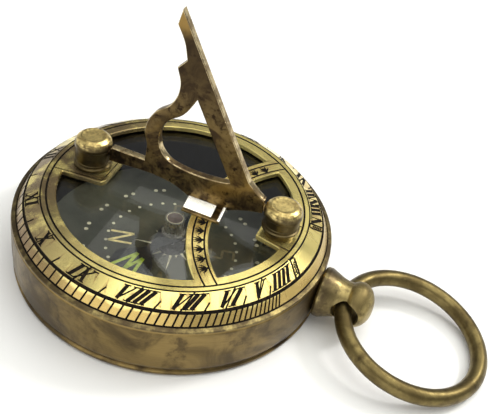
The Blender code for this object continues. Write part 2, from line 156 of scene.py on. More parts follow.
def polar(radius, angle, centre=(0.0, 0.0)):
    """The point in plan at a radius and an angle in radians from a centre."""
    return centre[0] + radius * cos(angle), centre[1] + radius * sin(angle)


def arc_points(centre, radius, start, end, count):
    """Points along an arc between two angles in degrees."""
    return [polar(radius, radians(start + (end - start) * k / (count - 1)), centre) for k in range(count)]


def circle(radius, sides, centre=(0.0, 0.0)):
    return [polar(radius, 2 * pi * k / sides, centre) for k in range(sides)]


def fillet(points, closed=False, steps=5):
    """Round the corners of a path. A point is (x, y, corner radius[, slot]); returns (x, y, slot) points."""
    count = len(points)
    result = []
    for i, point in enumerate(points):
        here = Vector(point[:2])
        slot = point[3] if len(point) > 3 else 0
        before = Vector(points[i - 1][:2]) if closed or i > 0 else None
        after = Vector(points[(i + 1) % count][:2]) if closed or i < count - 1 else None
        if not point[2] or before is None or after is None:
            result.append((here.x, here.y, slot))
            continue
        back = (before - here).normalized()
        ahead = (after - here).normalized()
        half_turn = (pi - back.angle(ahead)) / 2
        reach = point[2] * tan(half_turn)
        reach = min(reach, 0.49 * (before - here).length, 0.49 * (after - here).length)
        start, end = here + back * reach, here + ahead * reach
        for k in range(steps + 1):
            t = k / steps
            spot = start * (1 - t) ** 2 + here * 2 * t * (1 - t) + end * t ** 2
            result.append((spot.x, spot.y, slot))
    return result


def densify(path, longest):
    """Add points so that no step of an open path is longer than this."""
    result = [path[0]]
    for a, b in zip(path, path[1:]):
        length = hypot(b[0] - a[0], b[1] - a[1])
        pieces = max(1, ceil(length / longest))
        for k in range(1, pieces + 1):
            t = k / pieces
            slot = b[2] if k == pieces else a[2]
            result.append((a[0] + (b[0] - a[0]) * t, a[1] + (b[1] - a[1]) * t, slot))
    return result


def turned(name, path, materials, steps=STEPS):
    """Turn a path of (radius, height, slot) points about Z. It is closed unless it starts on the axis."""
    verts, rings = [], []
    for r, z, _ in path:
        if r < ON_AXIS:
            rings.append([len(verts)] * steps)
            verts.append((0.0, 0.0, z))
            continue
        rings.append(list(range(len(verts), len(verts) + steps)))
        verts.extend((x, y, z) for x, y in circle(r, steps))
    faces, slots = [], []
    pairs = list(zip(range(len(path)), range(1, len(path))))
    if path[0][0] > ON_AXIS:
        pairs.append((len(path) - 1, 0))
    for i, j in pairs:
        for k in range(steps):
            m = (k + 1) % steps
            face = list(dict.fromkeys((rings[i][k], rings[i][m], rings[j][m], rings[j][k])))
            if len(face) > 2:
                faces.append(face)
                slots.append(path[i][2])
    return make_object(name, verts, faces, materials, slots)


def add_loft(store, rings):
    """Add a closed solid through rings of points, capped at both ends, to a (verts, faces) store."""
    verts, faces = store
    size = len(rings[0])
    first = len(verts)
    for ring in rings:
        verts.extend(ring)
    last = len(verts) - size
    for a in range(first, last, size):
        for k in range(size):
            m = (k + 1) % size
            faces.append([a + k, a + m, a + size + m, a + size + k])
    faces.append(list(range(first + size - 1, first - 1, -1)))
    faces.append(list(range(last, last + size)))


def offset_loop(points, distance):
    """Move a closed loop outward along its own corners; the loop runs counterclockwise."""
    result = []
    for i, point in enumerate(points):
        here, before, after = Vector(point), Vector(points[i - 1]), Vector(points[(i + 1) % len(points)])
        n1 = (here - before).normalized()
        n2 = (after - here).normalized()
        n1, n2 = Vector((n1.y, -n1.x)), Vector((n2.y, -n2.x))
        out = (n1 + n2).normalized()
        out = out * distance / max(0.4, out.dot(n1))
        result.append((here.x + out.x, here.y + out.y))
    return result


def evaluated_mesh(obj):
    """A new mesh of an object as its modifiers or its curve make it."""
    bpy.context.view_layer.update()
    graph = bpy.context.evaluated_depsgraph_get()
    return bpy.data.meshes.new_from_object(obj.evaluated_get(graph))


def carve(obj, cutter, self_overlap=False, tidy=True):
    """Cut one object out of another; the cut faces keep the cutter's material.

    The cut is made at a thousand times the size, where the solver's tolerance is small beside the detail.
    tidy dissolves the slivers it leaves; the dial goes without, because that would open its finest strokes.
    """
    for item in (obj, cutter):
        item.data.transform(Matrix.Scale(1 / MM, 4))
    boolean = obj.modifiers.new("carve", "BOOLEAN")
    boolean.operation = "DIFFERENCE"
    boolean.solver = "EXACT"
    boolean.use_self = self_overlap
    boolean.material_mode = "TRANSFER"
    boolean.object = cutter
    whole = obj.data
    obj.data = evaluated_mesh(obj)
    obj.modifiers.clear()
    bpy.data.meshes.remove(whole)
    if tidy:
        rework(obj.data, bmesh.ops.dissolve_degenerate, "edges", dist=SLIVER)
    obj.data.transform(Matrix.Scale(MM, 4))
    bpy.data.objects.remove(cutter)


def rod(name, radius, start, end, material, steps=48):
    """A plain cylinder between two points, for cutters."""
    start, end = Vector(start), Vector(end)
    turn = (end - start).to_track_quat("Z", "Y").to_matrix()
    store = ([], [])
    add_loft(store, [[tuple(base + turn @ Vector((x, y, 0))) for x, y in circle(radius, steps)]
                     for base in (start, end)])
    return make_object(name, *store, [material])


def flat_piece(name, loops, thickness, matrix, material, edge, resolution=12, bevel_steps=3):
    """A plate with rounded edges, cut to closed outlines of (x, y) points, or (x, y, True) at a corner."""
    curve = bpy.data.curves.new(name, "CURVE")
    curve.dimensions = "2D"
    curve.fill_mode = "BOTH"
    curve.extrude = (thickness / 2 - edge) * MM
    curve.bevel_depth = edge * MM
    curve.bevel_resolution = bevel_steps
    curve.offset = -edge * MM
    curve.resolution_u = resolution
    for loop in loops:
        spline = curve.splines.new("BEZIER")
        spline.bezier_points.add(len(loop) - 1)
        for knot, (x, y, *corner) in zip(spline.bezier_points, loop):
            knot.co = (x * MM, y * MM, 0.0)
            knot.handle_left_type = "VECTOR" if corner else "AUTO"
            knot.handle_right_type = knot.handle_left_type
        spline.use_cyclic_u = True
    source = link(name + "_curve", curve)
    mesh = evaluated_mesh(source)
    bpy.data.objects.remove(source)
    mesh.name = name
    mesh.transform(matrix)
    rework(mesh, bmesh.ops.remove_doubles, "verts", dist=WELD)
    mesh.materials.clear()
    mesh.materials.append(material)
    obj = link(name, mesh)
    shade(obj, 40)
    return obj


def roughen(obj, amount, size, seed):
    """Move the surface in and out by a smooth noise, as on a cast or hand-finished piece."""
    mesh = obj.data
    normals = [v.normal.copy() for v in mesh.vertices]
    for vertex, normal in zip(mesh.vertices, normals):
        spot = vertex.co / (size * MM) + Vector((seed, seed * 0.7, -seed))
        vertex.co += normal * noise.noise(spot) * amount * MM
    mesh.update()


def adopt(obj, body, slot, *nodes):
    """Let a piece ride on a body and stand for CAD nodes.

    Weighted normals keep its flat faces flat in the light beside its rounded edges. slot is not used.
    """
    weighted = obj.modifiers.new("even_shading", "WEIGHTED_NORMAL")
    weighted.keep_sharp = True
    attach(obj, body)
    if nodes:
        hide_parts(*nodes)


# -------- materials

class Shader:
    """The shader of a material or of the world, and short ways to add the nodes that drive it."""

    def __init__(self, owner, shader="Principled BSDF", coords="Object"):
        owner.use_nodes = True
        self.owner = owner
        self.nodes = owner.node_tree.nodes
        self.links = owner.node_tree.links
        self.shader = self.nodes[shader]
        self.coords = self.nodes.new("ShaderNodeTexCoord").outputs[coords]

    def feed(self, socket, value):
        if isinstance(value, bpy.types.NodeSocket):
            self.links.new(value, socket)
        else:
            socket.default_value = (*value, 1.0) if socket.type == "RGBA" else value

    def set(self, **values):
        """Give the shader's sockets a number, a colour or another node's output."""
        for key, value in values.items():
            self.feed(self.shader.inputs[key.replace("_", " ")], value)

    def node(self, kind, inputs, output=0, **settings):
        """Add a node, feed its inputs and return one of its outputs."""
        node = self.nodes.new("ShaderNode" + kind)
        for key, value in settings.items():
            setattr(node, key, value)
        for key, value in inputs.items():
            self.feed(node.inputs[key], value)
        return node.outputs[output]

    def noise(self, scale, detail=3, rough=0.6, stretch=(1, 1, 1), distort=0.0, shift=0.0):
        """Noise in object space; scale is the number of features in a millimetre."""
        spot = self.node("Mapping", {"Vector": self.coords, "Scale": [s * scale / MM for s in stretch],
                                     "Location": (shift, shift * 0.37, -shift * 0.61)})
        return self.node("TexNoise", {"Vector": spot, "Scale": 1.0, "Detail": detail, "Roughness": rough,
                                      "Distortion": distort}, "Fac")

    def ramp(self, value, low, high, start=0.0, end=1.0):
        """A smooth step of a value from low to high, given as start to end."""
        return self.node("MapRange", {"Value": value, "From Min": low, "From Max": high, "To Min": start,
                                      "To Max": end}, "Result", interpolation_type="SMOOTHSTEP")

    def mix(self, factor, first, second):
        return self.node("Mix", {0: factor, 6: first, 7: second}, 2, data_type="RGBA")

    def math(self, operation, first, second):
        return self.node("Math", {0: first, 1: second}, operation=operation, use_clamp=True)

    def along(self, axis):
        return self.node("SeparateXYZ", {0: self.coords}, axis)

    def bump(self, value, distance, strength=1.0):
        self.set(Normal=self.node("Bump", {"Height": value, "Distance": distance * MM, "Strength": strength},
                                  "Normal"))


def aged_metal(name, bright, middle, dark, rough, blotch, seed, spots=0.35, spot_share=0.5, brush=(1, 1, 14),
               grain=0.3, worn_edges_and_hollow_shade=False, bands=(), darken_along_x=None, metallic=1.0):
    """Brass or bronze with drifting patina, dark spots, fine brushing, grain, bright worn edges and hollows
    darkened by patina and painted shade.

    blotch and spots are how many patches and spots there are in a millimetre. brush stretches the brushing
    marks, and rough is the roughness of the bright and of the dull metal.
    A band is (full height, zero height, colour): the piece fades to that colour toward the first height.
    darken_along_x is (x, x, share) in metres: dark patches grow along X by that share.
    """
    s = Shader(bpy.data.materials.new(name))
    drift = s.noise(blotch, 6, 0.62, distort=0.6, shift=seed)
    colour = s.mix(s.ramp(drift, 0.36, 0.62), middle, bright)
    spot = s.noise(spots, 5, shift=seed + 3.1)
    colour = s.mix(s.ramp(spot, 0.53, 0.70, 0.0, spot_share), colour, dark)
    streak = s.noise(1.1, stretch=brush, shift=seed + 1.7)
    colour = s.mix(s.ramp(streak, 0.35, 0.75, 0.0, 0.22), colour, dark)
    if worn_edges_and_hollow_shade:
        pointed = s.node("NewGeometry", {}, "Pointiness")
        edge, hollow = s.ramp(pointed, 0.515, 0.56), s.ramp(pointed, 0.485, 0.44)
        colour = s.mix(s.math("MULTIPLY", edge, 0.65), colour, [min(1.0, c * 1.25) for c in bright])
        # hollows darken: patina, with painted shade where less light reaches
        colour = s.mix(s.math("MULTIPLY", hollow, 0.75), colour, [c * 0.35 for c in dark])
    # a band can paint shade, as on the dial's ladder and the posts' sides
    for full, zero, band_colour in bands:
        wobble = s.math("ADD", s.along("Z"), s.ramp(drift, 0.3, 0.7, -0.0004, 0.0005))
        colour = s.mix(s.ramp(wobble, full * MM, zero * MM, 0.92, 0.0), colour, band_colour)
    # dark patches along X; on the dial they are painted shade around the north post and lug
    if darken_along_x:
        along = s.ramp(s.along("X"), *darken_along_x[:2], 0.0, darken_along_x[2])
        patches = s.ramp(s.noise(blotch * 1.7, 6, 0.65, shift=seed + 5.0), 0.32, 0.56)
        colour = s.mix(s.math("MULTIPLY", along, patches), colour, dark)
    fine = s.noise(9.0, rough=0.7, shift=seed)
    s.bump(s.math("ADD", s.math("MULTIPLY", streak, 0.2), s.math("MULTIPLY", fine, grain)), 0.02)
    s.set(Base_Color=colour, Metallic=metallic, Roughness=s.ramp(drift, 0.3, 0.65, rough[1], rough[0]))
    return s.owner


def mottled(name, low, high, scale, share, rough, relief, fleck=None, detail=3, noise_rough=0.6,
            stretch=(1, 1, 1), **finish):
    """A surface that drifts between two colours, with its roughness and relief from the same noise.

    share is where the noise turns from one colour to the other, rough the roughness, or that at the noise's
    two ends, and relief the bump's (millimetres, strength). fleck is the colour of fine flecks, if any.
    """
    s = Shader(bpy.data.materials.new(name))
    cloud = s.noise(scale, detail, noise_rough, stretch)
    colour = s.mix(s.ramp(cloud, *share), low, high)
    if fleck:
        flecks = s.noise(6.0)
        colour = s.mix(s.ramp(flecks, 0.60, 0.8, 0.0, 0.3), colour, fleck)
    s.bump(flecks if fleck else cloud, *relief)
    roughness = s.ramp(cloud, 0.3, 0.7, *rough) if isinstance(rough, tuple) else rough
    s.set(Base_Color=colour, Roughness=roughness, **finish)
    return s.owner


def paint(name, colour, rough=0.5, **finish):
    dull = [c * 0.6 for c in colour]
    return mottled(name, dull, colour, 1.2, (0.35, 0.65), rough, (0.01, 0.4), detail=4, noise_rough=0.65,
                   Specular_IOR_Level=0.3, **finish)


def clear_glass(name, tint, rough=0.0, clear=1.0):
    """Glass that lets lamps through without bending their light; clear is how much it transmits."""
    s = Shader(bpy.data.materials.new(name))
    s.set(Base_Color=tint, Roughness=rough, IOR=1.5, Transmission_Weight=clear)
    shadow_ray = s.node("LightPath", {}, "Is Shadow Ray")
    through = s.node("BsdfTransparent", {"Color": tint})
    glass = s.node("MixShader", {0: shadow_ray, 1: s.shader.outputs[0], 2: through})
    s.links.new(glass, s.nodes["Material Output"].inputs["Surface"])
    return s.owner


def blued_steel():
    s = Shader(bpy.data.materials.new("blued_steel"))
    drift = s.noise(0.3, 4)
    brush = s.noise(1.5, stretch=(1, 6, 1))
    colour = s.mix(s.ramp(drift, 0.35, 0.65), (0.010, 0.013, 0.018), (0.030, 0.036, 0.042))
    s.set(Base_Color=colour, Metallic=0.8, Roughness=s.ramp(brush, 0.3, 0.7, 0.32, 0.5))
    s.bump(brush, 0.01, 0.4)
    return s.owner


GOLD = (0.88, 0.70, 0.26)
BROWN = (0.062, 0.043, 0.025)
SMOKE = (0.17, 0.115, 0.07)
EVEN = (1, 1, 1)  # no direction of brushing

DIAL_BRASS = aged_metal(
    "dial_brass", GOLD, (0.62, 0.44, 0.14), SMOKE, (0.17, 0.30), 0.12, 2.0, spots=0.28, spot_share=0.75,
    # the dark patches toward the north post and lug are painted shade
    brush=(0.6, 0.6, 10), worn_edges_and_hollow_shade=True, darken_along_x=(0.002, -0.021, 0.9), metallic=0.8,
    # the ladder below the cone fades to a darker brass: painted shade
    bands=((DIAL_Z - 2.5, DIAL_Z - 1.8, (0.44, 0.31, 0.10)),))
CASE_BRASS = aged_metal(
    "case_brass", (0.235, 0.165, 0.062), (0.088, 0.062, 0.028), (0.036, 0.025, 0.016), (0.28, 0.42), 0.11,
    5.0, spots=0.20, spot_share=0.8, brush=(0.25, 0.25, 9), worn_edges_and_hollow_shade=True)
BRONZE = aged_metal(
    "gnomon_bronze", (0.36, 0.25, 0.10), (0.085, 0.056, 0.030), (0.022, 0.014, 0.011), (0.28, 0.42), 0.33,
    8.0, spots=0.9, spot_share=0.95, brush=EVEN, grain=0.7, darken_along_x=(-0.006, -0.010, 0.9),
    bands=((DIAL_Z + 28, DIAL_Z + 6, (0.036, 0.024, 0.014)), (DIAL_Z + 34, DIAL_Z + 31, (0.30, 0.19, 0.06))))
EDGE_BRONZE = aged_metal(
    "gnomon_edge", (0.60, 0.49, 0.28), (0.25, 0.18, 0.09), (0.06, 0.042, 0.026), (0.20, 0.32), 0.5, 9.0,
    spots=1.4, brush=EVEN)
POST_BRASS = aged_metal(
    "post_brass", (0.84, 0.66, 0.26), (0.42, 0.31, 0.12), BROWN, (0.30, 0.46), 0.50, 11.0, spots=1.3,
    # below its top the post fades to dark brown: painted shade on its sides
    spot_share=0.65, brush=(1, 1, 8), bands=((DIAL_Z + 5.1, DIAL_Z + 6.2, (0.060, 0.045, 0.024)),))
KNOB_BRASS = aged_metal(
    "knob_brass", (0.42, 0.33, 0.13), (0.185, 0.140, 0.055), BROWN, (0.33, 0.50), 0.22, 14.0, spots=0.5,
    spot_share=0.6, brush=(6, 1, 1), darken_along_x=(0.0345, 0.0300, 0.85), metallic=0.9)
RING_BRASS = aged_metal(
    "ring_brass", (0.205, 0.158, 0.062), (0.108, 0.080, 0.032), (0.040, 0.027, 0.014), (0.36, 0.50), 0.16,
    17.0, spots=0.5, brush=EVEN)
FOOT_BRASS = aged_metal(
    "foot_brass", (0.92, 0.88, 0.78), (0.86, 0.80, 0.66), SMOKE, (0.12, 0.2), 0.3, 20.0, spots=1.2,
    spot_share=0.12, worn_edges_and_hollow_shade=True)
BOWL_BLACK = aged_metal(
    "bowl_black", (0.012, 0.011, 0.010), (0.008, 0.007, 0.006), (0.004, 0.004, 0.004), (0.5, 0.6), 0.15, 23.0)
INNER_BRASS = aged_metal(
    "inner_brass", GOLD, (0.62, 0.49, 0.19), (0.155, 0.118, 0.054), (0.25, 0.4), 0.4, 26.0)
FILL = mottled("engraving_fill", (0.006, 0.005, 0.004), (0.03, 0.02, 0.012), 1.4, (0.45, 0.7), (0.6, 0.85),
               (0.02, 0.5), detail=4, Specular_IOR_Level=0.1)
GLASS = clear_glass("window_glass_clear", (0.985, 0.985, 0.96))
CAP_CLEAR = clear_glass("hub_cap_clear", (0.74, 0.74, 0.68), 0.12, 0.86)
# the card is dark grey, not black: painted glare from the glass over it
CARD = mottled("printed_card", (0.050, 0.053, 0.042), (0.086, 0.090, 0.070), 0.11, (0.35, 0.7), 0.85,
               (0.01, 0.3), fleck=(0.14, 0.14, 0.11), detail=4, Specular_IOR_Level=0.12)
CREAM = paint("card_cream", (0.72, 0.69, 0.48))
CARD_GREY = paint("card_grey", (0.10, 0.10, 0.085))
LETTER_GOLD = paint("card_gold", (0.85, 0.72, 0.32), 0.4)
LETTER_DULL = paint("card_dull_gold", (0.17, 0.15, 0.08))
LID_ROSE = paint("hub_rose", (0.17, 0.135, 0.13), 0.45)
LIME_COLOUR = (0.50, 0.64, 0.07)
# the lime mark glows faintly: painted light that keeps it bright
LIME = paint("needle_lime", LIME_COLOUR, Emission_Color=LIME_COLOUR, Emission_Strength=0.10)
BLUED = blued_steel()
RUBBER = mottled("gasket_rubber", (0.012, 0.012, 0.012), (0.03, 0.03, 0.03), 4.0, (0.4, 0.7), 0.7,
                 (0.02, 0.5))
STEEL = mottled("turned_steel", (0.36, 0.36, 0.36), (0.62, 0.61, 0.60), 1.5, (0.35, 0.65), (0.25, 0.42),
                (0.01, 0.5), stretch=(1, 1, 10), Metallic=1.0)


# -------- the dial

def dial_surface(x, y):
    """Height of the dial's top at a place in plan, and the way it faces there."""
    r = hypot(x, y)
    if r <= FLAT_R:
        return DIAL_Z, Vector((0, 0, 1))
    if r <= CONE_R + 0.001:
        start, run, top, fall = FLAT_R, CONE_R - FLAT_R, DIAL_Z, CONE_DROP
    else:
        start, run, top, fall = CONE_R, LADDER_R - CONE_R, DIAL_Z - CONE_DROP, LADDER_DROP - CONE_DROP
    normal = (Vector((x, y, 0)).normalized() * fall + Vector((0, 0, run))).normalized()
    return top - (r - start) / run * fall, normal


def stroke(store, points, width):
    """A graver's stroke along points in plan. width is one number, or one for each point."""
    widths = width if isinstance(width, list) else [width] * len(points)
    spots = []
    for x, y in points:
        height, normal = dial_surface(x, y)
        spots.append((Vector((x, y, height)), normal))
    rings = []
    lift, foot = 0.12, 0.55  # height of the cutter above the surface, width of its foot
    flare = 1 + 0.45 * lift / GROOVE_DEPTH
    for i, (spot, normal) in enumerate(spots):
        ahead = spots[min(i + 1, len(spots) - 1)][0] - spots[max(i - 1, 0)][0]
        side = normal.cross(ahead).normalized() * widths[i] / 2
        rings.append([tuple(spot + side * across + normal * up) for across, up in
                      ((-flare, lift), (flare, lift), (foot, -GROOVE_DEPTH), (-foot, -GROOVE_DEPTH))])
    add_loft(store, rings)


def hour_angle(hours):
    """Angle at the style's foot between the noon line and the line of an hour, in degrees."""
    size = abs(hours)
    angle = NOON_GAP + HOUR_STEP * size if size >= 1 else (NOON_GAP + HOUR_STEP) * size
    return copysign(angle, hours)


def on_hour_line(hours, radius):
    """The point of an hour line at a radius from the dial's centre. Morning hours are negative."""
    way = radians(180 - hour_angle(hours))
    dx, dy = cos(way), sin(way)
    b = STYLE_FOOT_X * dx
    reach = -b + sqrt(b * b - STYLE_FOOT_X ** 2 + radius ** 2)
    return STYLE_FOOT_X + reach * dx, reach * dy


def straight(start, end, place):
    """Five points of a straight line in a stroke's own two measures, put on the dial by place."""
    return [place(*(a + (b - a) * k / 4 for a, b in zip(start, end))) for k in range(5)]


def hour_line(store, hours, inner, outer, width):
    stroke(store, straight((hours, inner), (hours, outer), on_hour_line), width)


THICK, THIN, SERIF = 0.66, 0.26, 0.23  # widths of a numeral's strokes
LETTERS = {"I": 1.08, "V": 2.4, "X": 2.4}  # widths of its letters


def numeral_strokes(text):
    """Strokes of a Roman numeral as ((u, v), (u, v), width), u along the reading direction, centred."""
    u = -sum(LETTERS[c] for c in text) / 2
    top, low = NUMERAL_H, 0.0
    result = []
    for i, letter in enumerate(text):
        width = LETTERS[letter]
        middle, left, right = u + width / 2, u + 0.45, u + width - 0.45
        if letter == "I":
            result.append(((middle, top), (middle, low), THICK))
            if i == 0 or text[i - 1] != "I":
                run_start = u
            if i + 1 == len(text) or text[i + 1] != "I":
                for v in (low, top):
                    result.append(((run_start - 0.08, v), (u + width + 0.08, v), SERIF))
        else:
            ends = (middle, middle, low - 0.05) if letter == "V" else (right, left, low)
            result.append(((left, top), (ends[0], ends[2]), THICK * 0.95))
            result.append(((right, top), (ends[1], ends[2]), THIN))
            feet = [(left, top), (right, top)]
            if letter == "X":
                feet += [(left, low), (right, low)]
            for foot_u, foot_v in feet:
                result.append(((foot_u - 0.5, foot_v), (foot_u + 0.5, foot_v), SERIF))
        u += width
    return result


def numeral(store, text, hours, lean, shift=0.0):
    """Engrave a numeral centred on an hour line, its strokes leaning by lean degrees."""
    x, y = on_hour_line(hours, (FLAT_R + CONE_R) / 2)
    centre = atan2(y, x) + radians(shift)
    flat_share = (CONE_R - FLAT_R) / hypot(CONE_R - FLAT_R, CONE_DROP)

    def place(u, v):
        radius = NUMERAL_FOOT_R - v * flat_share
        return polar(radius, centre + (u + (v - NUMERAL_H / 2) * tan(radians(lean))) / radius)
    for start, end, width in numeral_strokes(text):
        stroke(store, straight(start, end, place), width)


def engrave_hours(store):
    # the lean of the strokes grows toward six o'clock, as the hour lines do
    leans = (20, 17, 30, 38, 43, 43, 32, 34)
    morning = ("XI", "X", "IX", "VIII", "VII", "VI", "V", "IIII")
    afternoon = ("I", "II", "III", "IIII", "V", "VI", "VII", "VIII")
    numeral(store, "XII", -0.001, 0)
    for hours, (before, after, lean) in enumerate(zip(morning, afternoon, leans), 1):
        shift = 1.6 if hours == LAST_HOUR else 0.0
        numeral(store, before, -hours, lean, shift)
        numeral(store, after, hours, -lean, -shift)
    for side in (-1, 1):
        for hours in range(1, LAST_HOUR):
            hour_line(store, side * hours, FLAT_R + 0.1, CONE_R - 0.1, HOUR_W)
        for hours in range(LAST_HOUR):
            hour_line(store, side * (hours + 0.5), CONE_R - 1.35, CONE_R - 0.1, HALF_HOUR_W)


def engrave_ladder(store):
    last = LAST_HOUR * TICKS_PER_HOUR
    for tick in range(-last, last + 1):
        hours = (tick or 0.001) / TICKS_PER_HOUR
        hour_line(store, hours, CONE_R + 0.06, LADDER_R - 0.02, RUNG_W)


def engrave_brackets(store):
    """The two slanted boxes that close the hour band beside the pendant."""
    for side in (-1, 1):
        def place(u, v):
            """u across the box and v from the inner line to the outer, both 0 to 1."""
            inner = 10.4 + 2.7 * u
            outer = 13.9 + 2.4 * u
            return polar(FLAT_R + 0.12 + v * (CONE_R - FLAT_R - 0.25),
                         radians(side * (inner + (outer - inner) * v)))
        corners = fillet([(0, 0, 0.3), (1, 0, 0.1), (1, 1, 0.1), (0, 1, 0.3)], closed=True, steps=3)
        loop = [place(u, v) for u, v, _ in corners]
        for a, b in zip(loop, loop[1:] + loop[:1]):
            longer = [(a[0] * 1.04 - b[0] * 0.04, a[1] * 1.04 - b[1] * 0.04),
                      (b[0] * 1.04 - a[0] * 0.04, b[1] * 1.04 - a[1] * 0.04)]
            stroke(store, longer, BRACKET_W)
        for k in range(5):
            v = 0.24 + 0.13 * k
            stroke(store, [place(0.24, v), place(0.76, v + 0.09)], [0.34, 0.24])


def engrave_strip(store):
    """Border lines and a row of ferns along the arched strip, each fanning out from its inner border."""
    facing = 180 + STRIP_LEAN
    outer_line, inner_line = STRIP_OUTER_R - 1.12, STRIP_INNER_R + 0.66
    for radius in (outer_line, inner_line):
        reach = triangle_angle(radius, STRIP_FAR, LINE_IN_R - 0.05)
        stroke(store, arc_points(STRIP_CENTRE, radius, facing - reach, facing + reach, 49), BORDER_W)
    base_r, tip_r = inner_line + 0.16, outer_line - 0.2
    pitch = 5.3

    def place(middle, along, up):
        """along the strip in degrees, up from the inner border to the outer, 0 to 1."""
        return polar(base_r + (tip_r - base_r) * up, radians(middle + along), STRIP_CENTRE)
    # each frond: how far along the strip its tip lies, how far up, and how much it bends
    fronds = ((-2.05, 0.72, -0.5), (-1.0, 1.0, -0.2), (0.1, 1.0, 0.1), (1.15, 0.95, 0.3), (2.0, 0.6, 0.5))
    for k in range(-7, 8):
        middle = facing - k * pitch
        stroke(store, [place(middle, -0.2, -0.04), place(middle, 0.1, 0.32)], [0.5, 0.55])
        for along, up, bend in fronds:
            points = []
            for t in (0, 0.25, 0.5, 0.75, 1):
                curl = bend * sin(pi * t) * 0.55
                points.append(place(middle, along * t + curl, 0.06 + (up - 0.06) * t))
            stroke(store, points, [0.20, 0.26, 0.34, 0.32, 0.12])


def triangle_angle(a, b, opposite):
    """The angle in degrees between two sides of a triangle."""
    return degrees(acos((a ** 2 + b ** 2 - opposite ** 2) / (2 * a * b)))


NORTH_LUG = [(-13.3, -4.1), (-12.8, -3.2), (-12.8, 3.2), (-13.3, 4.1)]
SOUTH_LUG = [(16.1, 2.7), (16.1, -2.7)]


def engrave_lugs(store):
    half = [(0.4 - LINE_IN_R, 4.75), (-13.45, 3.5), (-13.4, 3.0)]
    outline = [(x, -y) for x, y in half] + half[::-1]
    for a, b in zip(outline, outline[1:]):
        stroke(store, [a, b], LUG_W)
    for side in (-1, 1):
        stroke(store, [polar(radius, radians(side * 9.0)) for radius in (WINDOW_R, LINE_IN_R)], LUG_W)


def window_loops():
    """The dial's two openings, counterclockwise, as points in plan."""
    radii = (STRIP_OUTER_R, STRIP_INNER_R)
    # where the strip's edges meet the rim, as seen from the dial's centre and from the strip's
    outer, inner = (triangle_angle(WINDOW_R, STRIP_FAR, radius) for radius in radii)
    outer_reach, inner_reach = (triangle_angle(radius, STRIP_FAR, WINDOW_R) for radius in radii)
    lug_n, lug_s = 13.2, 10.1  # half the angle that each lug takes from the rim

    def rim(start, end, count):
        """An arc of the window's rim, its two ends rounded off."""
        points = arc_points((0.0, 0.0), WINDOW_R, start, end, count)
        return [(x, y, 0.4 if i in (0, count - 1) else 0.0) for i, (x, y) in enumerate(points)]

    def strip(radius, reach):
        """The edge of the arched strip, without the two points that it shares with the rim."""
        facing = 180 + STRIP_LEAN
        points = arc_points(STRIP_CENTRE, radius, facing - reach, facing + reach, 60)
        return [(*point, 0.0) for point in points[1:-1]]

    def lug(corners):
        return [(*corner, 0.35) for corner in reversed(corners)]
    large = (rim(STRIP_LEAN + outer, 180 - lug_n, 60) + lug(NORTH_LUG)
             + rim(180 + lug_n, 360 + STRIP_LEAN - outer, 60) + strip(STRIP_OUTER_R, -outer_reach))
    small = (rim(lug_s, STRIP_LEAN + inner, 24) + strip(STRIP_INNER_R, inner_reach)
             + rim(STRIP_LEAN - inner, -lug_s, 24) + lug(SOUTH_LUG))
    return [[(x, y) for x, y, _ in fillet(loop, closed=True, steps=4)] for loop in (large, small)]


def dial_blank():
    """The dial before its windows are cut, with the four circular lines already in it."""
    under = DIAL_Z - PLATE_T
    cone_slope = CONE_DROP / (CONE_R - FLAT_R)
    ladder_slope = (LADDER_DROP - CONE_DROP) / (LADDER_R - CONE_R)
    # each line's radius and height, the material slot of the surface outside it, and its section
    lines = (
        (LINE_IN_R, DIAL_Z, 0, ((-0.18, 0), (-0.11, -0.16), (0.11, -0.16), (0.18, 0))),
        (FLAT_R, DIAL_Z, 0, ((-0.14, 0), (-0.08, -0.17), (0.06, -0.22), (0.14, -0.14 * cone_slope))),
        (CONE_R, DIAL_Z - CONE_DROP, 0,
         ((-0.30, 0.30 * cone_slope), (-0.26, -0.05), (-0.06, -0.32), (0.12, -0.12 * ladder_slope))),
        (LADDER_R, DIAL_Z - LADDER_DROP, 2,
         ((-0.09, 0.09 * ladder_slope), (-0.13, -0.04), (0.04, -0.16), (0.14, -0.04))))
    path = [(0, DIAL_Z, 0)]
    for r, z, outside, section in lines:
        for k, (across, up) in enumerate(section):
            path.append((r + across, z + up, 0, 1 if k < 3 else outside))
    path += [
        (CASE_R - 0.08, SEAM_TOP + 0.28, 0.15, 2), (CASE_R - 0.08, SEAM_TOP, 0), (SPIGOT_R, SEAM_TOP, 0),
        (SPIGOT_R, SKIRT_LOW, 0), (SKIRT_BORE_R, SKIRT_LOW, 0), (SKIRT_BORE_R, SHOULDER_Z, 0),
        (SEAT_R, SHOULDER_Z, 0), (SEAT_R, under, 0), (0, under, 0)]
    return turned("dial_engraved", fillet(path), [DIAL_BRASS, FILL, KNOB_BRASS])


def dial():
    plate = dial_blank()
    under = DIAL_Z - PLATE_T
    chamfer, lift = 0.14, 0.06
    store = ([], [])
    for loop in window_loops():
        wider = offset_loop(loop, chamfer + lift)
        add_loft(store, [[(x, y, z) for x, y in points] for points, z in
                         ((loop, under - 0.3), (loop, DIAL_Z - chamfer), (wider, DIAL_Z + lift))])
    carve(plate, make_object("windows", *store, [DIAL_BRASS]), tidy=False)
    store = ([], [])
    for engrave in (engrave_hours, engrave_ladder, engrave_brackets, engrave_strip, engrave_lugs):
        engrave(store)
    carve(plate, make_object("strokes", *store, [FILL]), self_overlap=True, tidy=False)
    for x in (NORTH_POST_X, SOUTH_POST_X):
        carve(plate, rod("screw_hole", 0.78, (x, 0, DIAL_Z - 2), (x, 0, DIAL_Z + 1), DIAL_BRASS), tidy=False)
    shade(plate, 30)
    adopt(plate, "case", "dial_plate", "dial_plate")


# -------- case and base

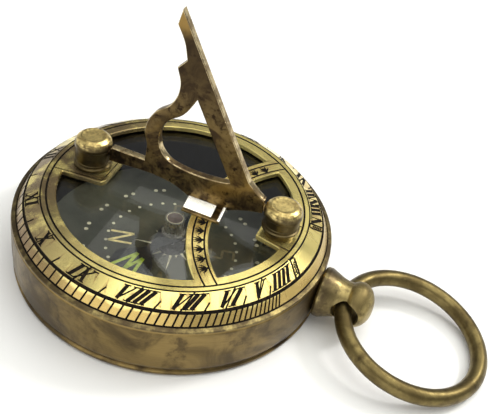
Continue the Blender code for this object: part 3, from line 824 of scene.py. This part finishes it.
def case():
    inner = CASE_R - CASE_WALL
    low, top = SEAM_BASE + 0.05, SEAM_TOP - 0.05
    path = fillet([(CASE_R - 0.16, top, 0), (CASE_R, SEAM_TOP - 0.45, 0.3), (CASE_R, 5.0, 6.0),
                   (CASE_R - 0.14, 2.3, 2.0), (CASE_R - 0.42, low, 0.12), (inner, low, 0), (inner, top, 0)],
                  steps=8)
    wall = turned("case_wall", densify(path, 0.6), [CASE_BRASS])
    carve(wall, rod("pendant_hole", THREAD_R, (CASE_R - 4, 0, KNOB_Z), (CASE_R + 2, 0, KNOB_Z), CASE_BRASS))
    shade(wall)
    adopt(wall, "case", "case_body", "case_body")


def base():
    """The base cover: a rolled edge, a slightly raised foot ring and fine turned steps underneath."""
    spigot_in = SPIGOT_R - 0.9
    under = [(0, 0.22, 0), (17.9, 0.22, 0.1), (18.0, 0.12, 0.1), (18.6, 0.12, 0.1), (18.7, 0.22, 0.1),
             (25.3, 0.22, 0.1), (25.6, 0.0, 0.15)]
    path = ([(0, SEAM_BASE, 0), (spigot_in, SEAM_BASE, 0), (spigot_in, 3.0, 0.1), (SPIGOT_R, 3.0, 0.1),
             (SPIGOT_R, SEAM_BASE, 0), (CASE_R - 0.5, SEAM_BASE, 0.1), (CASE_R - 0.15, 1.0, 0.35),
             (CASE_R - 0.3, 0.35, 0.4), (CASE_R - 1.1, 0.0, 0.5)] + under[::-1])
    cover = turned("base_turned", densify(fillet(path), 1.2), [CASE_BRASS])
    adopt(cover, "case", "base_cover", "base_cover")


# -------- posts and gnomon

def post(name, x, collar, side):
    """A post with a collar of this height; side is the way, along X, that its pivot bore opens."""
    foot = DIAL_Z + 0.05
    top = foot + POST_H
    flange = foot + collar
    path = [(0, top - 0.05, 0), (1.7, top - 0.05, 0.5), (2.15, top, 0.12), (2.35, top - 0.03, 0.2),
            (3.05, top - 0.5, 0.9), (3.4, top - 1.35, 0.7), (3.4, top - 1.95, 0.12), (3.2, top - 2.15, 0.12),
            (3.2, flange + 1.2, 0), (3.12, flange + 1.1, 0.05), (3.2, flange + 1.0, 0.05),
            (3.2, flange + 0.8, 0.05),
            (3.06, flange + 0.68, 0.06), (3.06, flange + 0.52, 0.06), (3.38, flange + 0.36, 0.12),
            (3.38, flange, 0.12), (2.65, flange - 0.1, 0.05), (2.65, foot, 0), (0, foot, 0)]
    obj = turned(name + "_turned", densify(fillet(path), 0.5), [POST_BRASS], SMALL_STEPS)
    carve(obj, rod("bore", 0.82, (side * 0.6, 0, PIVOT_Z), (side * 5, 0, PIVOT_Z), POST_BRASS))
    roughen(obj, 0.05, 2.2, x)
    shade(obj, 32)
    obj.location.x = x * MM
    adopt(obj, "case", name, name)


def style_point(height, inward=0.0):
    x = STYLE_FOOT_X - height / tan(STYLE_SLOPE)
    return (x - inward * sin(STYLE_SLOPE), height - inward * cos(STYLE_SLOPE))


def gnomon():
    bar_top = 5.5
    outline = [
        (*style_point(36.0), True), (*style_point(8.6), True), (15.0, 6.6), (ARM_END_SOUTH, 6.05, True),
        (ARM_END_SOUTH, 3.2, True), (13.0, 2.5), (9.4, 1.0, True), (2.3, 1.0, True), (-1.5, 2.6),
        (-ARM_END, 2.5, True), (-ARM_END, bar_top - 0.5, True), (0.4 - ARM_END, bar_top, True),
        (-6.9, bar_top, True), (-6.7, 8.6), (-7.3, 11.7), (-5.9, 15.7),
        (-2.9, 18.7), (-1.8, 22.5), (-2.6, 25.7, True), (-1.1, 27.5, True), (-1.9, 30.5),
        (-3.35, 33.2, True)]
    opening = [
        (*style_point(22.8, 3.7), True), (-0.5, 17.4), (-3.4, 14.7), (-4.5, 11.2),
        (-3.1, 7.8), (0.2, 6.5), (8.6, 6.9), (*style_point(9.0, 3.7), True)]
    upright = Matrix.Translation((0, 0, DIAL_Z * MM)) @ Matrix.Rotation(radians(90), 4, "X")
    plate = flat_piece("gnomon_worked", [outline, opening], 1.4, upright, BRONZE, edge=0.24, resolution=16)
    plate.data.materials.append(EDGE_BRONZE)
    # the rounded edges take the lighter bronze as worn metal; the up-facing style edge and arm top take it
    # partly as painted highlight
    for face in plate.data.polygons:
        normal = face.normal
        rounded = 0.3 < abs(normal.y) < 0.93
        style_edge = abs(normal.y) < 0.3 and normal.x > 0.5 and normal.z > 0.2
        arm_top = normal.z > 0.9 and face.center.x / MM < -6
        face.material_index = int(rounded or style_edge or arm_top)
    adopt(plate, "gnomon", "gnomon_plate", "gnomon_plate")


def foot():
    """The stop tab: a polished ramp in front of the plate, a slot and a narrow rib."""
    low = DIAL_Z + 0.05
    left, ramp_end, rib, right = 2.3, 7.7, 8.95, 9.5
    # along Y: height of the ramp, of the slot's floor and of the rib
    stations = [(0.4, 0.9, 0.86, 0.9), (-0.72, 0.9, 0.86, 0.9), (-0.77, 1.42, 0.45, 1.70),
                (-0.87, 1.46, 0.45, 1.74), (-2.95, 0.56, 0.45, 0.86), (-3.1, 0.48, 0.45, 0.80),
                (-3.2, 0.38, 0.36, 0.76), (-3.6, 0.36, 0.34, 0.58), (-3.7, 0.28, 0.26, 0.48)]
    rings = []
    for y, ramp_top, floor, rib_top in stations:
        section = fillet([(left, 0, 0.06), (left, ramp_top, 0.1), (ramp_end, ramp_top, 0.08),
                          (ramp_end, floor, 0.02), (rib, floor, 0.02), (rib, rib_top, 0.1),
                          (right, rib_top, 0.1), (right, 0, 0.06)], closed=True, steps=4)
        rings.append([(x, y, low + up) for x, up, _ in section])
    store = ([], [])
    add_loft(store, rings)
    tab = make_object("foot_worked", *store, [FOOT_BRASS, BRONZE])
    # the slot, the lip ahead of the ramp and the front faces take the darker bronze: unpolished metal, with
    # painted shade along the front under the ramp's edge
    for face in tab.data.polygons:
        middle = face.center / MM
        in_slot = ramp_end - 0.01 < middle.x < rib + 0.01
        ahead_of_ramp = middle.y < -3.1 and middle.x < rib
        face.material_index = int(in_slot or ahead_of_ramp or face.normal.y < -0.7)
    adopt(tab, "gnomon", "gnomon_foot", "gnomon_foot")


# -------- pendant and bow

def knob():
    ball_x, ball_half, ball_r = 7.05, 2.95, 4.15
    bulge = [(0.2 + (ball_r - 0.2) * cos(a), ball_x + ball_half * sin(a), 0)
             for a in (radians(90 - 112 * k / 24) for k in range(25))]
    path = ([(0, ball_x + ball_half, 0)] + bulge
            + [(3.50, 5.45, 0.3), (3.46, 4.6, 1.0), (3.70, 3.4, 1.5), (4.25, 2.0, 1.2), (4.6, 1.1, 0.5),
               (4.6, 0.35, 0.3), (4.35, 0.0, 0.12), (0, 0, 0)])
    obj = turned("knob_turned", densify(fillet(path, steps=7), 0.4), [KNOB_BRASS], SMALL_STEPS)
    roughen(obj, 0.06, 2.6, 4.0)
    lay = Matrix.Rotation(pi / 2, 4, "Y")
    obj.data.transform(Matrix.Translation((FLANGE_X * MM, 0, KNOB_Z * MM)) @ lay)
    half_hole = [(0, 5.2, 0), (HOLE_R + 1.5, 5.2, 0), (HOLE_R + 0.55, 4.0, 0), (HOLE_R + 0.12, 3.55, 0),
                 (HOLE_R, 3.1, 0)]
    hole = turned("hole", half_hole + [(r, -z, 0) for r, z, _ in reversed(half_hole)], [KNOB_BRASS], 64)
    across = Matrix.Rotation(pi / 2, 4, "X")
    hole.data.transform(Matrix.Translation((HOLE_X * MM, 0, KNOB_Z * MM)) @ across)
    carve(obj, hole)
    carve(obj, rod("thread", THREAD_R, (FLANGE_X - 1, 0, KNOB_Z), (FLANGE_X + 3, 0, KNOB_Z), KNOB_BRASS))
    shade(obj, 32)
    adopt(obj, "case", "pendant_knob", "pendant_knob")


def bow():
    """A wire ring, a little thinner all round, with a faint waviness."""
    around, across = 220, 28
    verts, faces = [], []
    for i in range(around):
        a = 2 * pi * i / around
        wobble = 1 + 0.012 * noise.noise(Vector((*polar(3, a), 1.3)))
        for r, z in circle(WIRE_R * wobble * 0.993, across, (RING_R, 0.0)):
            x, y = polar(r, a, (RING_R - RING_PLAY, 0.0))
            verts.append((x, y, z))
    for i in range(around):
        for j in range(across):
            m, n = (i + 1) % around, (j + 1) % across
            faces.append([i * across + j, m * across + j, m * across + n, i * across + n])
    obj = make_object("bow_wire", verts, faces, [RING_BRASS])
    droop = asin((KNOB_Z - WIRE_R - RING_LIFT) / (2 * RING_R - RING_PLAY))
    obj.location = (HOLE_X * MM, 0, KNOB_Z * MM)
    obj.rotation_euler = (0, droop, 0)
    adopt(obj, "bow", "bow_ring", "bow_ring")


# -------- glass, card and needle

def pane():
    low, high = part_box("window_glass")
    top, bottom, seat = high.z / MM, low.z / MM, high.x / MM
    path = fillet([(0, top, 0), (seat - 0.2, top, 0.05), (seat, top - 0.2, 0.05), (seat, bottom, 0.05),
                   (0, bottom, 0)])
    glass = turned("window_pane", path, [GLASS], 128)
    adopt(glass, "case", "window_glass", "window_glass")


def hub():
    """The cap is clear; a rose-grey disc with a bright rim fills its top and hides the bearing."""
    low = NEEDLE_Z + 0.3
    bore = 1.6
    path = fillet([(bore, HUB_TOP, 0.03), (HUB_R, HUB_TOP, 0.08), (HUB_R, low + 0.3, 0),
                   (2.2, low + 0.3, 0.05), (2.2, low, 0.05), (bore, low, 0)], closed=True)
    cap = turned("hub_clear", path, [CAP_CLEAR], SMALL_STEPS)
    adopt(cap, "needle", "hub_cap", "hub_cap")
    top = HUB_TOP - 0.03
    lid_path = fillet([(0, top, 0), (1.44, top, 0, 1), (bore - 0.02, top, 0.04, 1),
                       (bore - 0.02, top - 0.3, 0.04), (0, top - 0.3, 0)])
    lid = turned("hub_lid", lid_path, [LID_ROSE, CREAM], SMALL_STEPS)
    adopt(lid, "needle", "hub_cap")


def card():
    path = fillet([(24.3, CARD_TOP, 0.05), (24.3, CARD_TOP - 0.3, 0), (2.6, CARD_TOP - 0.3, 0),
                   (2.6, CARD_TOP, 0.05)], closed=True)
    disc = turned("card_disc", path, [CARD], 160)
    adopt(disc, "case", "compass_card", "compass_card")


def flat_shapes(name, loops, low, high, material):
    """Thin raised shapes, such as print or paint, from counterclockwise loops in plan."""
    store = ([], [])
    for loop in loops:
        add_loft(store, [[(x, y, z) for x, y in loop] for z in (low, high)])
    return make_object(name, *store, [material])


def bars(line, width):
    """A bar in plan for each stretch of a line."""
    loops = []
    for start, end in zip(line, line[1:]):
        start, end = Vector(start), Vector(end)
        side = (end - start).normalized() * width / 2
        side = Vector((-side.y, side.x))
        loops.append([tuple(start - side), tuple(end - side), tuple(end + side), tuple(start + side)])
    return loops


LETTER_LINES = {
    "N": [[(-0.5, 0), (-0.5, 1), (0.5, 0), (0.5, 1)]],
    "E": [[(0.45, 0), (-0.4, 0), (-0.4, 1), (0.45, 1)], [(-0.4, 0.5), (0.3, 0.5)]],
    "S": [[(-0.4, 0), (0.4, 0), (0.4, 0.5), (-0.4, 0.5), (-0.4, 1), (0.4, 1)]],
    "W": [[(-0.6, 1), (-0.3, 0), (0, 0.8), (0.3, 0), (0.6, 1)]]}


def card_print():
    """Dots, a star and the four letters, printed on the card."""
    def ink(name, loops, material, height=0.02):
        adopt(flat_shapes(name, loops, CARD_TOP - 0.05, CARD_TOP + height, material), "case", "compass_card")

    dots = [circle(0.32, 14, polar(DOTS_R, radians(11.25 * k))) for k in range(32)]
    for k in range(16):
        for offset in (-2.9, 2.9):
            dots.append(circle(0.40, 14, polar(PAIRS_R, radians(22.5 * k + 11.25 + offset))))
    ink("card_dots", dots, CREAM)
    star = {CREAM: [], CARD_GREY: []}
    for k in range(16):
        a = radians(22.5 * k + 16)
        tip = polar((7.0, 3.4, 5.2, 3.4)[k % 4], a)
        inner = polar(2.62, a)
        star[CREAM].append([inner, tip, polar(2.75, a + radians(11.25))])
        star[CARD_GREY].append([inner, polar(2.75, a - radians(11.25)), tip])
    for material, loops in star.items():
        ink("card_" + material.name, loops, material)
    letters = {LETTER_GOLD: [], LETTER_DULL: []}
    for letter, heading in (("N", 196), ("W", -74), ("S", 16), ("E", 106)):
        turn = Matrix.Rotation(radians(heading - 90), 2)
        for line in LETTER_LINES[letter]:
            points = [turn @ Vector((u * 2.7, 7.4 + v * 4.4)) for u, v in line]
            letters[LETTER_GOLD if letter == "N" else LETTER_DULL] += bars(points, 0.5)
    for material, loops in letters.items():
        ink("letters_" + material.name, loops, material, 0.03)


def needle():
    side = [(-13.5, 0.35, True), (-6.0, 0.8), (-2.6, 1.9), (0.0, 2.6), (3.4, 1.6),
            (6.2, 0.8), (8.2, 2.0), (10.4, 3.7), (13.2, 3.3), (15.6, 1.2)]
    outline = side + [(16.6, 0, True)] + [(x, -y, *corner) for x, y, *corner in reversed(side)]
    bore = [(*point, True) for point in circle(1.2, 24)]
    heading = Matrix.Rotation(NEEDLE_HEADING, 4, "Z")
    level = Matrix.Translation((0, 0, (NEEDLE_Z + 0.125) * MM)) @ heading
    blade = flat_piece("needle_blade", [outline, bore], 0.25, level, BLUED, edge=0.05, bevel_steps=2)
    adopt(blade, "needle", "compass_needle", "compass_needle")
    zigzag = [(14.4, 2.4), (9.4, 0.9), (13.6, 0.2), (9.0, -0.7), (14.6, -2.2)]
    mark = flat_shapes("needle_mark", bars(zigzag, 0.62), NEEDLE_Z + 0.2, NEEDLE_Z + 0.29, LIME)
    mark.data.transform(heading)
    adopt(mark, "needle", "compass_needle")


def paint_kept_nodes():
    """Give the CAD nodes that stay as they are their own finish."""
    finishes = {BOWL_BLACK: ("compass_bowl", "glass_retaining_ring", "pivot_boss"), RUBBER: ("glass_gasket",),
                STEEL: ("pivot_pin", "pendant_screw", "pendant_washer"),
                INNER_BRASS: ("jewel_cup", "north_post_screw", "south_post_screw"),
                BRONZE: ("north_pivot_pin", "south_pivot_pin")}
    for material, names in finishes.items():
        for name in names:
            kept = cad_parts[name].data
            kept.materials.clear()
            kept.materials.append(material)


# -------- studio

CAMERA_AZIMUTH = radians(14.3)
CAMERA_ELEVATION = radians(38.96)
CAMERA_ROLL = radians(11.2)
CAMERA_LENS = 60.97  # focal length for a 36 mm film
CAMERA_PLACE = (0.01286, -0.00216, 0.1515)  # metres from the dial's middle: right, up and back in the view
FLOOR_HALF = 0.8
OVERHEAD_STEPS = 5  # nested panels overhead, brighter toward the middle
OVERHEAD_X = (-0.23, 0.55)
OVERHEAD_Y = (-0.34, 0.50)
OVERHEAD_INSET, OVERHEAD_RISE = 0.030, 0.004  # from each panel to the next
OVERHEAD_Z = 0.45
OVERHEAD_RADIANCE = 0.40


def camera():
    data = bpy.data.cameras.new("camera")
    data.lens = CAMERA_LENS
    data.clip_start = 0.01
    obj = link("camera", data)
    turn = (Matrix.Rotation(CAMERA_AZIMUTH, 4, "Z") @ Matrix.Rotation(pi / 2 - CAMERA_ELEVATION, 4, "X")
            @ Matrix.Rotation(CAMERA_ROLL, 4, "Z"))
    obj.matrix_world = Matrix.Translation((0, 0, DIAL_Z * MM)) @ turn @ Matrix.Translation(CAMERA_PLACE)
    bpy.context.scene.camera = obj


def soft_box(name, place, target, size, power, colour):
    """A rectangular lamp that faces a target, or straight down if there is none."""
    data = bpy.data.lights.new(name, "AREA")
    data.shape = "RECTANGLE"
    data.size, data.size_y = size
    data.energy = power
    data.color = colour
    obj = link(name, data)
    obj.location = place
    if target:
        obj.rotation_euler = (Vector(target) - Vector(place)).to_track_quat("-Z", "Y").to_euler()


def overhead(step):
    """A level soft box, seen from below as an evenly bright panel; each step is smaller and a little higher.

    Panels at the same height would count only once in a reflection.
    """
    (x0, x1), (y0, y1) = ((low + OVERHEAD_INSET * step, high - OVERHEAD_INSET * step)
                          for low, high in (OVERHEAD_X, OVERHEAD_Y))
    place = ((x0 + x1) / 2, (y0 + y1) / 2, OVERHEAD_Z + OVERHEAD_RISE * step)
    power = OVERHEAD_RADIANCE * pi * (x1 - x0) * (y1 - y0)
    soft_box("overhead_%d" % step, place, None, (x1 - x0, y1 - y0), power, (1.0, 1.0, 0.94))


def pale_floor():
    mesh = bpy.data.meshes.new("floor")
    corners = ((-1, -1), (1, -1), (1, 1), (-1, 1))
    mesh.from_pydata([(x * FLOOR_HALF, y * FLOOR_HALF, 0) for x, y in corners], [], [(0, 1, 2, 3)])
    s = Shader(bpy.data.materials.new("floor_white"))
    s.set(Base_Color=(0.96, 0.96, 0.96), Roughness=0.7, Specular_IOR_Level=0.2)
    mesh.materials.append(s.owner)
    floor = link("floor", mesh)


def surroundings():
    """A white world that is bright near the horizon and dim overhead."""
    world = bpy.data.worlds.new("studio")
    s = Shader(world, "Background", "Generated")
    s.set(Color=(1.0, 1.0, 1.0), Strength=s.ramp(s.along("Z"), 0.02, 0.30, 0.95, 0.20))
    bpy.context.scene.world = world
    bpy.context.scene.view_settings.view_transform = "Standard"


def lights():
    for step in range(OVERHEAD_STEPS):
        overhead(step)
    soft_box("key", (0.36, 0.34, 0.46), (0, 0, 0), (0.12, 0.12), 1.6, (1.0, 0.98, 0.95))
    soft_box("front", (-0.10, -0.75, 0.26), (0, 0, 0.02), (1.3, 0.5), 2.6, (1.0, 0.99, 0.96))
    soft_box("left", (-0.75, -0.15, 0.40), (0, 0, 0.02), (0.8, 0.7), 0.9, (1.0, 0.99, 0.96))


# -------- build

dial()
case()
base()
post("north_post", NORTH_POST_X, 0.3, 1)
post("south_post", SOUTH_POST_X, 1.5, -1)
gnomon()
foot()
knob()
bow()
pane()
hub()
card()
card_print()
needle()
paint_kept_nodes()
pale_floor()
surroundings()
lights()
camera()
